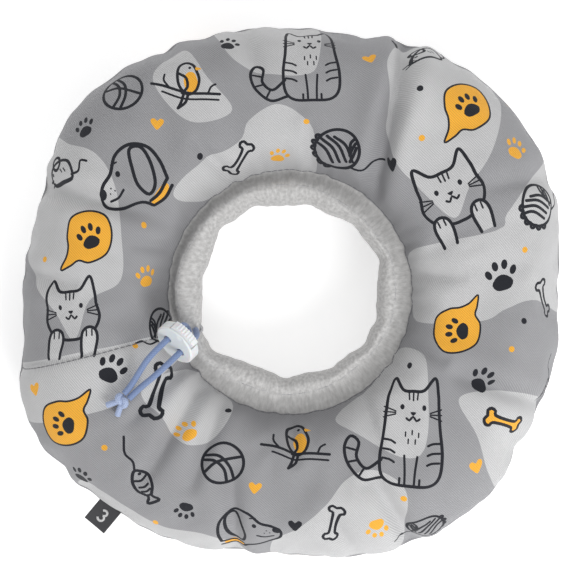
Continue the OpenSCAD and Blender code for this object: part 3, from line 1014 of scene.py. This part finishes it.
# Each motif's places: x and y in millimetres seen from above, turn, size and mirrored.
MOTIFS = [
    (cat_face(), [(-106, -11.5, 6), (78.5, 46, 25, 1.05)]),
    (sitting_cat(), [(59, -70, -4, 1.02), (10, 113, 2, 0.98)]),
    (dog_head(), [(-77.5, 58, 10, 1.1), (-22, -115, 20, 1.0, True)]),
    (bird(), [(-49, 102, 8, 0.95, True), (4, -73, 8, 0.95, True)]),
    (mouse(), [(-112, 58, 0, 1.05), (67, 116, 20, 0.95)]),
    (fish(), [(-71, -94, -65, 1.05), (126, -48, -80, 0.8)]),
    (ball(), [(-81.5, 97.5), (-32.5, -83, 30)]),
    (yarn(), [(23, 69.5, 10, 1.05), (121, 42.5, 60), (-62.5, -16.5, 0, 0.8, True),
              (67, -115, 0, 0.85, True)]),
    (bubble(), [(-97.5, 26), (86.5, 90, 10, 0.95), (-110, -64, 100, 0.92, True),
                (81.5, -18, 105, 0.92, True)]),
    (bone(INK), [(-24.5, 65, 65, 0.95), (21.5, -113, 80), (-63.5, -48, 72, 1.3), (125, -3, -55)]),
    (bone(ORANGE), [(103.5, -63, -20, 1.1)]),
    (paw(INK), [(-100, 80, 20, 0.95), (-30, 121, -10, 0.9), (-86.5, -37.5, -25, 1.2), (-102, -90, -30),
                (-51, -106, 160, 0.9), (102.5, 7.5, 15, 1.4), (93.5, -43, -30, 1.15)]),
    (paw(ORANGE), [(-5.5, 66.5, -15, 0.85), (-70.5, 7.5, 10, 0.95), (110, 70, -20),
                   (-50, -67.5, 30, 0.95), (42, -114, 190)]),
    (heart(ORANGE), [(-64.5, 81.5, 0, 0.85), (38.5, 113, 10, 0.9), (-125, -48, 20, 0.9),
                     (-17, -95, -10, 0.9), (90.5, -85, 15)]),
    (heart(INK), [(52, 122, 0, 0.7), (49.5, 61.5, 20, 0.9), (2.5, -113.5, 0, 0.95)]),
    (dot(ORANGE), [(-71, 32.5), (-119, 16), (8, 82.5), (64, 74.5), (113.5, 20.5), (107, -27.5),
                   (-90, -75.5), (-65.5, -112), (55, -99.5), (-74.5, -26, 0, 0.9), (108.5, 93)]),
    (dot(INK), [(62.5, 97.5), (-43.5, 65.5, 0, 1.1), (113, -14), (58.5, -36), (-30, -58)]),
]
# Light patches on the mid-grey ground, millimetres seen from above.
PATCHES = [
    [(-37, 134), (-32, 118), (-18, 108), (5, 105), (14, 113), (12, 134), (-12, 142)],
    [(-57, 47), (-46, 61), (-25, 73), (-20, 83), (-7, 91), (5, 86), (12, 76), (12, 58),
     (-5, 56), (-36, 44)],
    [(47, 113), (60, 124), (84, 118), (100, 101), (99, 71), (87, 51), (80, 36), (67, 46),
     (52, 63), (46, 76), (49, 96)],
    [(130, 66), (142, 38), (142, -9), (120, -4), (105, -8), (92, -14), (62, -14), (59, 8),
     (61, 21), (100, 30), (105, 38), (117, 53)],
    [(82, -51), (105, -49), (125, -54), (119, -76), (104, -96), (97, -89), (90, -69)],
    [(22, -62), (40, -46), (52, -29), (65, -31), (67, -50), (65, -76), (55, -80), (40, -73)],
    [(40, -86), (55, -94), (57, -111), (54, -128), (30, -140), (-5, -142), (-9, -124),
     (5, -114), (17, -104), (27, -91)],
    [(-72, -46), (-62, -61), (-50, -74), (-35, -69), (-28, -56), (-37, -47), (-50, -38)],
    [(-104, -93), (-92, -97), (-80, -104), (-62, -114), (-37, -119), (-20, -131), (-24, -142),
     (-70, -126), (-106, -108)],
    [(-142, -39), (-110, -31), (-85, -26), (-62, -21), (-53, -28), (-62, -40), (-77, -51),
     (-97, -59), (-138, -61)],
    [(-117, 73), (-107, 72), (-94, 67), (-85, 53), (-82, 30), (-82, 6), (-97, -4), (-105, -23),
     (-117, -6), (-128, 11), (-129, 38)],
    [(-52, 118), (-40, 104), (-28, 88), (-46, 82), (-60, 92), (-66, 106)],
]


def to_flat(x, y):
    """Cloth coordinates of a place seen from above."""
    az, radius = math.degrees(math.atan2(y, x)), math.hypot(x, y)
    radius -= float(cyclic(REACH, az) * outward(radius))
    rho = np.linspace(RHO_NECK, RHO_OUT, 400)
    seen, _ = section(rho, 1)
    # Past the outer edge as seen from above, the cloth runs on down the side.
    edge = 137.0
    return polar(az, float(np.interp(min(radius, edge), seen, rho)) + 2 * max(0.0, radius - edge))


def cover_print(turn, mirrored):
    """The whole cover's print, in cloth coordinates."""
    art = Print()
    for patch in PATCHES:
        art.fill(catmull([to_flat(*p) for p in patch], 2.5, True), LIGHT)
    for motif, places in MOTIFS:
        for x, y, *how in places:
            art.placed(motif, *to_flat(x, y), *how)
    spun = Print()
    spun.placed(art, 0, 0, turn, 1.0, mirrored)
    return spun


def area2(points):
    x, y = points[:, 0], points[:, 1]
    return float(np.sum(x * np.roll(y, -1) - np.roll(x, -1) * y))


def flat_mesh(art, spacing):
    """Triangles over the flat ring that follow every printed edge, with each one's colour."""
    points, edges, shapes, colours = [], [], [], []
    rows = int((RHO_OUT - RHO_NECK) / spacing)
    gap = (RHO_OUT - RHO_NECK) / rows
    for k in range(1, rows):
        rho = RHO_NECK + k * gap
        count = int(TAU * rho / spacing)
        a = (np.arange(count) + 0.5 * (k % 2)) * TAU / count
        points += zip(rho * np.cos(a), rho * np.sin(a))
    a = np.arange(COLS * 2) * TAU / (COLS * 2)
    for rho in (RHO_NECK, RHO_OUT):
        base = len(points)
        points += zip(rho * np.cos(a), rho * np.sin(a))
        edges += [(base + i, base + (i + 1) % len(a)) for i in range(len(a))]
    for shape, colour in art.shapes:
        far = np.hypot(shape[:, 0], shape[:, 1])
        if far.min() > RHO_OUT - 0.2 or far.max() < RHO_NECK + 0.2:
            continue
        base = len(points)
        points += [tuple(q) for q in (shape if area2(shape) >= 0 else shape[::-1])]
        shapes.append(list(range(base, base + len(shape))))
        colours.append(colour)
    made, _, faces, _, _, owners = delaunay_2d_cdt([Vector(p) for p in points], edges, shapes, 0, 1e-3, True)
    verts = np.array([tuple(v) for v in made])
    rho = np.hypot(verts[:, 0], verts[:, 1])
    inside = (rho > RHO_NECK - 0.05) & (rho < RHO_OUT + 0.05)
    tris, picks = [], []
    for face, owned in zip(faces, owners):
        middle = math.hypot(*verts[list(face)].mean(0))
        if RHO_NECK - 0.01 <= middle <= RHO_OUT + 0.01 and inside[list(face)].all():
            tris.append(face)
            picks.append(colours[max(owned)] if owned else MID)
    return verts, tris, picks


def make_cover(name, node, grid, side, art, mats, spacing):
    """One printed cover on its surface."""
    verts, tris, picks = flat_mesh(art, spacing)
    used = np.zeros(len(verts), bool)
    used[np.unique(np.array(tris).ravel())] = True
    where = np.cumsum(used) - 1
    faces = [tuple(int(where[i]) for i in (f if side > 0 else f[::-1])) for f in tris]
    verts = verts[used]
    rho = np.hypot(verts[:, 0], verts[:, 1])
    az = np.degrees(np.arctan2(verts[:, 1], verts[:, 0]))
    normals = grid_normals(grid, az, rho, side)
    obj = add_mesh(name, sample_grid(grid, az, rho), faces, mats, verts, picks, normals)
    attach(obj, "ring")
    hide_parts(node)


# ---------------------------------------------------------------- the cuff

# Corners of the cuff's rim: azimuth and radius. Between them the cloth bulges inwards.
RIM = [
    (21, 48.4), (47, 46.8), (78, 45.0), (113, 47.1), (138, 47.7), (172, 44.6), (203, 49.0),
    (216, 49.6), (267, 43.4), (297, 43.6), (325, 45.8), (342, 45.6),
]
# How far the tunnel's line slips towards the opening, by azimuth.
LINE_SLIP = [(0, 1.6), (45, 3.4), (90, 0.8), (135, 0.6), (180, -1.8), (215, 0.6), (250, 2.6),
             (280, 3.0), (315, 4.0)]
# Cuff section from the top seam over the roll and down to the bottom seam:
# radius, height, share of the rim's waves, share of the fine gathers, share of the slip.
CUFF_LINE = [
    (60.6, 43.3, 0.0, 0.0, 0.0), (59.8, 42.9, 0.0, 0.1, 0.0), (58.7, 43.0, 0.0, 0.4, 0.1),
    (57.4, 43.9, 0.05, 0.8, 0.3), (56.0, 44.9, 0.12, 0.9, 0.7), (54.8, 45.7, 0.2, 0.7, 1.0),
    (53.9, 46.1, 0.25, 0.6, 1.0), (52.6, 46.8, 0.35, 0.9, 0.9), (50.4, 46.7, 0.55, 1.0, 0.6),
    (48.2, 45.4, 0.75, 0.9, 0.3), (46.3, 43.2, 0.92, 0.8, 0.1), (45.0, 40.3, 1.0, 0.8, 0.0),
    (44.5, 36.8, 1.0, 0.7, 0.0), (44.5, 33.0, 1.0, 0.7, 0.0), (44.6, 28.0, 1.0, 0.7, 0.0),
    (44.8, 22.0, 0.95, 0.7, 0.0), (45.1, 17.0, 0.9, 0.7, 0.0), (46.2, 13.6, 0.7, 0.7, 0.0),
    (48.6, 11.6, 0.4, 0.7, 0.0), (51.6, 11.4, 0.2, 0.7, 0.0), (55.0, 12.6, 0.1, 0.7, 0.0),
    (58.0, 14.8, 0.05, 0.5, 0.0), (60.6, 16.6, 0.0, 0.0, 0.0),
]
CUFF_COLS = 720
# Radii: the rim without its waves, and where the cuff's cloth coordinates run true to size.
RIM_R, TRUE_R = 44.5, 52.0
# The cord inside the tunnel: radius of its loop, and its height.
LOOP_R, LOOP_Z = 49.2, 37.6
# The tunnel's line: its radius, and its shares of the rim's waves and of the slip.
TUNNEL_LINE = (53.9, 0.25, 1.0)


def rim_chords(az):
    """Corners joined by nearly straight stretches that sag inwards."""
    at = np.array([p[0] for p in RIM] + [RIM[0][0] + 360], float)
    val = np.array([p[1] for p in RIM] + [RIM[0][1]], float)
    deg = (np.asarray(az, float) - at[0]) % 360 + at[0]
    k = np.clip(np.searchsorted(at, deg, side="right") - 1, 0, len(RIM) - 1)
    before, after = np.radians(deg - at[k]), np.radians(at[k + 1] - deg)
    chord = val[k] * val[k + 1] * np.sin(before + after) / (
        val[k] * np.sin(before) + val[k + 1] * np.sin(after))
    return chord - 0.9 * np.sin(math.pi * before / (before + after)) ** 0.8


def rim_radius(az):
    """The rim's radius, with its corners softened."""
    return sum(rim_chords(np.asarray(az, float) + turn) for turn in (-3, -1.5, 0, 1.5, 3)) / 5


def cuff_reach(az, radius, wide, slip):
    """The real radius of a point of the cuff's section."""
    return radius + (rim_radius(az) - RIM_R) * wide - cyclic(LINE_SLIP, az) * slip


def cuff_lift(az, radius, slip):
    """How much the cuff's upper side leans, up at the tunnel's line and down at the seam."""
    return np.cos(np.radians(az) - LEAN_AZ) * (slip - 1.6 * np.clip((radius - 55) / 4, 0, 1))


def cuff_height(az, radius):
    """Height of the cuff's upper side."""
    line = np.array(CUFF_LINE[:12])
    reach = cuff_reach(az, line[:, 0], line[:, 2], line[:, 4])
    drop = 0.16 * (rim_radius(az) - RIM_R) * line[:, 2] - cuff_lift(az, line[:, 0], line[:, 4])
    return float(np.interp(radius, reach[::-1], (line[:, 1] - drop)[::-1]))


def gathers(az, lean):
    """Fine folds of the gathered jersey, about 1 at most."""
    rad = np.radians(az)
    wave = 0.0
    for count, size, turn in ((19, 0.5, 0.4), (31, 0.4, 2.2), (47, 0.25, 5.0), (67, 0.12, 1.1)):
        drift = 1.1 * np.sin(2 * rad + turn) + 0.7 * np.sin(5 * rad - turn)
        wave = wave + size * np.sin(count * rad + turn + drift + lean)
    return wave


def make_cuff(top, low, mat):
    """The jersey cuff: outer band, roll, inner wall and lower fold."""
    line = catmull(CUFF_LINE, 0.8)
    az = np.arange(CUFF_COLS) * 360.0 / CUFF_COLS
    along = along_path(line[:, :2])
    tangent = unit(np.gradient(line[:, :2], axis=0))
    out_r, out_z = -tangent[:, 1], tangent[:, 0]
    rim = rim_radius(az) - RIM_R
    rows = []
    start, end = (ring_path(grid, RHO_NECK, CUFF_COLS) for grid in (top, low))
    rad = np.radians(az)
    for j, (r, z, wide, fine, slip) in enumerate(line):
        fold = gathers(az, along[j] * 0.035) * fine * 0.36
        radius = cuff_reach(az, r, wide, slip) + fold * out_r[j]
        height = z + fold * out_z[j]
        if z > 38:
            height = height - 0.16 * rim * wide + cuff_lift(az, r, slip)
        row = np.stack([radius * np.cos(rad), radius * np.sin(rad), height], 1)
        row += max(0.0, 1 - along[j] / 3.0) * (start - row)
        row += max(0.0, 1 - (along[-1] - along[j]) / 3.0) * (end - row)
        rows.append(row)
    flat = np.stack([np.tile(rad * TRUE_R, len(line)), np.repeat(along, CUFF_COLS)], 1)
    faces = [f[::-1] for f in grid_faces(len(line), CUFF_COLS)]
    obj = add_piece("cuff_jersey", (np.concatenate(rows), faces, flat), mat, "ring", "neck_cuff")


# ---------------------------------------------------------------- seams and stitches


def stitch(path, up, low, high, radius):
    """One stitch along a path, from low at its ends up to high in its middle."""
    arch = np.cos(np.linspace(-1, 1, len(path)) * math.pi / 2)[:, None]
    return tube(path + up * (low + (high - low) * arch), radius, 7)


def ring_path(grid, rho, count):
    return sample_grid(grid, np.arange(count) * 360.0 / count, np.full(count, float(rho)))


def make_seam_ring(name, node, path, side, mat, radius, pitch):
    """A closed row of separate stitches, which stands for a CAD seam thread."""
    loop = np.concatenate([path, path[:1]])
    along = along_path(loop)
    count = int(along[-1] / pitch)
    parts = []
    for k in range(count):
        at = (k + 0.5) * along[-1] / count + np.linspace(-0.43, 0.43, 7) * pitch
        line = read_path(at % along[-1], along, loop)
        parts.append(stitch(line, side * UP, -0.8 * radius, 0.8 * radius, radius))
    add_piece(name, merge(parts), mat, "ring", node)


def make_outer_seam(top, mat):
    """The turned-in outer seam, a low bead of the covers' cloth."""
    path = ring_path(top, RHO_OUT, 1080)
    shape = tube(path - unit(path * (1, 1, 0)) * 0.55, 0.9, 12, closed=True)
    add_piece("outer_seam_bead", shape, mat, "ring", "outer_seam")


def make_radial_seam(name, node, grid, side, az_pair, mat):
    """The join across a cover: stitches down in its valley."""
    share = np.linspace(0, 1, 160)
    rho = RHO_OUT - 0.6 - share * (RHO_OUT - RHO_NECK - 1.2)
    az = az_pair[0] + (az_pair[1] - az_pair[0]) * share
    path, up = sample_grid(grid, az, rho), grid_normals(grid, az, rho, side)
    count = int(along_path(path)[-1] / 3.0)
    index = np.arange(len(path))
    parts = []
    for k in range(count):
        at = (k + 0.5 + np.linspace(-0.42, 0.42, 7)) / count * (len(path) - 1)
        parts.append(stitch(read_path(at, index, path), read_path(at, index, up), -0.12, 0.18, 0.22))
    add_piece(name, merge(parts), mat, "ring", node)


def make_filling(top, low, mat):
    """The fibre filling, inside the covers."""
    step = 4
    loop = np.concatenate([top[::step, ::step], low[::step, ::step][::-1][1:]])
    az = np.radians(np.arange(0, COLS, step) * 360.0 / COLS)
    centre = np.stack([MIDDLE_R * np.cos(az), MIDDLE_R * np.sin(az), np.full(len(az), SIDE_Z)], 1)
    tufts = smooth_rows(np.random.default_rng(7).normal(0, 1, loop.shape), 1)
    points = (centre + (loop - centre) * 0.83 + tufts * 0.5).reshape(-1, 3)
    shape = (points, grid_faces(*loop.shape[:2], True, True), points)
    obj = add_piece("filling_fibre", shape, mat, "ring", "filling")


# ---------------------------------------------------------------- drawstring in the cuff

# The buttonhole: azimuth, radius of its middle, and half its length and width.
HOLE_AZ, HOLE_AT, HOLE_LONG, HOLE_WIDE = 202.0, 51.8, 4.3, 2.1


def make_drawstring(mat):
    """The cord inside the cuff's tunnel, with its two ends turned up to the buttonhole."""
    az = np.arange(360.0)
    rad = np.radians(az)
    radius = LOOP_R + (rim_radius(az) - RIM_R) * 0.7
    path = np.stack([radius * np.cos(rad), radius * np.sin(rad), np.full(360, LOOP_Z)], 1)
    parts = [tube(path, CORD_R, 16, closed=True, braid=BRAID_DEPTH)]
    for route in (ROUTE_LEFT, ROUTE_RIGHT):
        start = tail_point(route[0])
        end = resample([(*start[:2], 37.8), start - 0.3 * UP], 0.25)
        parts.append(tube(end, CORD_R, 16, braid=BRAID_DEPTH))
    add_piece("drawstring_in_cuff", merge(parts), mat, "ring", "drawstring_loop")


def make_buttonhole(mat):
    """A ring of close stitches round the hole the cord comes out of."""
    out = np.array(polar(HOLE_AZ, 1.0))
    side = np.array([-out[1], out[0]])
    count = 44
    parts = []
    for k in range(count):
        c, s = math.cos(TAU * k / count), math.sin(TAU * k / count)
        middle = out * (HOLE_AT + HOLE_LONG * c) + side * HOLE_WIDE * s
        away = unit(out * c * HOLE_WIDE + side * s * HOLE_LONG)
        height = cuff_height(HOLE_AZ, float(np.hypot(*middle))) + 0.2
        steps = ((-0.35, -0.5), (0.3, 0.35), (0.95, -0.4))
        line = catmull([(*(middle + away * reach), height + lift) for reach, lift in steps], 0.3)
        parts.append(tube(line, 0.26, 7))
    add_piece("buttonhole_thread", merge(parts), mat, "ring", "buttonhole_stitching")


# ---------------------------------------------------------------- the label

# The label's own frame: r runs out from the ring's axis, c across the label, z up.
LABEL_AZ = 230.0
LABEL_OUT = np.array([*polar(LABEL_AZ, 1.0), 0.0])
LABEL_SIDE = np.array([LABEL_OUT[1], -LABEL_OUT[0], 0.0])
LABEL_ROOT, LABEL_END, LABEL_HALF = 137.6, 152.0, 6.3


def label_point(r, c, z):
    return LABEL_OUT * r + LABEL_SIDE * c + UP * z


def make_label(mat):
    """The folded woven label: two layers, a rounded fold and a slight curl."""
    length = LABEL_END - LABEL_ROOT
    upper = [(LABEL_ROOT + length * t, 0.62 - 0.12 * t) for t in np.linspace(0, 0.94, 26)]
    fold = [(LABEL_END - 0.5 + 0.5 * math.cos(a), 0.5 * math.sin(a))
            for a in np.linspace(math.pi / 2, -math.pi / 2, 11)]
    line = np.array(upper + fold + [(r, -h) for r, h in upper[::-1]])
    across = np.linspace(-LABEL_HALF, LABEL_HALF, 25)
    pts, flat = [], []
    for (r, h), along in zip(line, along_path(line)):
        for c in across:
            curl = 0.35 * (c / LABEL_HALF) ** 2 * (r - LABEL_ROOT) / length
            pts.append(label_point(r, c, SIDE_Z + h + curl))
            flat.append((c, along))
    shape = (pts, grid_faces(len(line), len(across), False), flat)
    obj = add_piece("label_folded", shape, mat, None, "size_label")
    solid = obj.modifiers.new("thick", "SOLIDIFY")
    solid.thickness = 0.3 * MM
    solid.offset = 0
    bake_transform(obj)


def make_numeral(mat):
    """A figure 3 in raised satin stitch."""
    upper, lower = (
        [(size * math.cos(a), middle + tall * math.sin(a), 0) for a in np.radians(np.linspace(*sweep, 14))]
        for size, middle, tall, sweep in ((1.5, 1.35, 1.35, (150, -80)), (1.7, -1.5, 1.55, (80, -150)))
    )
    line = resample(catmull(upper + lower, 0.2), 0.22)
    parts = []
    for (x, y, _), (tx, ty, _) in zip(line, unit(np.gradient(line, axis=0))):
        ends = [label_point(145.4 - y - tx * s, ty * s - x, 31.86 + lift)
                for s, lift in ((-0.55, 0.0), (0, 0.16), (0.55, 0.0))]
        parts.append(tube(ends, 0.13, 6))
    add_piece("label_numeral_satin", merge(parts), mat, "label", "label_numeral")


def make_label_stitches(mat):
    """Two bars of stitches that hold the label in the seam."""
    parts = []
    for way in (-1, 1):
        for k in range(6):
            c = way * (3.0 + 0.5 * k)
            line = [label_point(r, c, z) for r, z in ((136.9, 31.9), (138.1, 32.1), (139.2, 31.7))]
            parts.append(tube(catmull(line, 0.3), 0.2, 7))
    add_piece("label_bars", merge(parts), mat, "ring", "label_stitching")


# ---------------------------------------------------------------- the whole

add_camera()
add_lights()
blue = cord_material("cord_braid", "5F77A8", "8A9DC4")
pale = cord_material("knot_braid", "869DCB", "B8C5E2")
lock = [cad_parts[f"cord_lock_{part}"] for part in ("body", "button", "spring")]
make_strand("strand_left", ROUTE_LEFT, blue, [make_knot(pale), *lock])
make_strand("strand_right", ROUTE_RIGHT, blue, [])

TOP, LOW = settled_ring()
prints = [
    printed_material("print_light", "CFCFD0"), printed_material("print_mid", "A2A2A5"),
    printed_material("print_orange", "FFB93A"), printed_material("print_ink", "151822"),
]
spacing = 1.5
make_cover("cover_top_printed", "cover_top", TOP, 1, cover_print(0, False), prints, spacing)
make_cover("cover_bottom_printed", "cover_bottom", LOW, -1, cover_print(140, True), prints, 2.0)
make_cuff(TOP, LOW, jersey_material("jersey_heather", "D9D8D7", "A6A5A4"))
grey_thread = thread_material("thread_grey", "77777B")
pale_thread = thread_material("thread_pale", "C6C6C8")
for place, grid, side in (("top", TOP, 1), ("bottom", LOW, -1)):
    make_seam_ring(f"neck_thread_{place}", f"neck_seam_{place}", ring_path(grid, RHO_NECK + 0.8, 720), side,
                   grey_thread, 0.25, 3.0)
line_az = np.arange(720) * 0.5
line_r = cuff_reach(line_az, *TUNNEL_LINE)
line_z = [cuff_height(a, r) - 0.05 for a, r in zip(line_az, line_r)]
groove = np.stack([line_r * np.cos(np.radians(line_az)), line_r * np.sin(np.radians(line_az)), line_z], 1)
make_seam_ring("tunnel_thread", "tunnel_stitching", groove, 1, pale_thread, 0.18, 2.6)
make_outer_seam(TOP, prints[MID])
make_radial_seam("radial_thread_top", "radial_seam_top", TOP, 1, (195.8, 199.5), grey_thread)
make_radial_seam("radial_thread_bottom", "radial_seam_bottom", LOW, -1, (17.0, 17.0), grey_thread)
make_filling(TOP, LOW, fibre_material("fibre"))
make_drawstring(blue)
make_buttonhole(pale_thread)
make_label(label_material("label_tape", "3A3A3D"))
make_numeral(thread_material("figure_thread", "EDEDED", 0.4))
make_label_stitches(thread_material("bar_thread", "2A2A2D", 0.4))


def finish_node(name, mat, width):
    """A carried-over CAD node: its material, and slightly rounded edges."""
    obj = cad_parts[name]
    obj.data.materials.clear()
    obj.data.materials.append(mat)
    if width:
        bevel = obj.modifiers.new("edge", "BEVEL")
        bevel.width = width * MM
        bevel.segments = 2
        bevel.limit_method = "ANGLE"
        bevel.angle_limit = math.radians(40)


white = plastic_material("frosted_plastic")
finish_node("cord_lock_body", white, 0.45)
finish_node("cord_lock_button", white, 0.15)
finish_node("cord_lock_spring", steel_material("spring_wire"), 0)

corners = [(x * 3000.0, y * 3000.0, -0.6) for x, y in ((-1, -1), (1, -1), (1, 1), (-1, 1))]
floor = add_mesh("floor", corners, [(0, 1, 2, 3)], [floor_material("paper")])
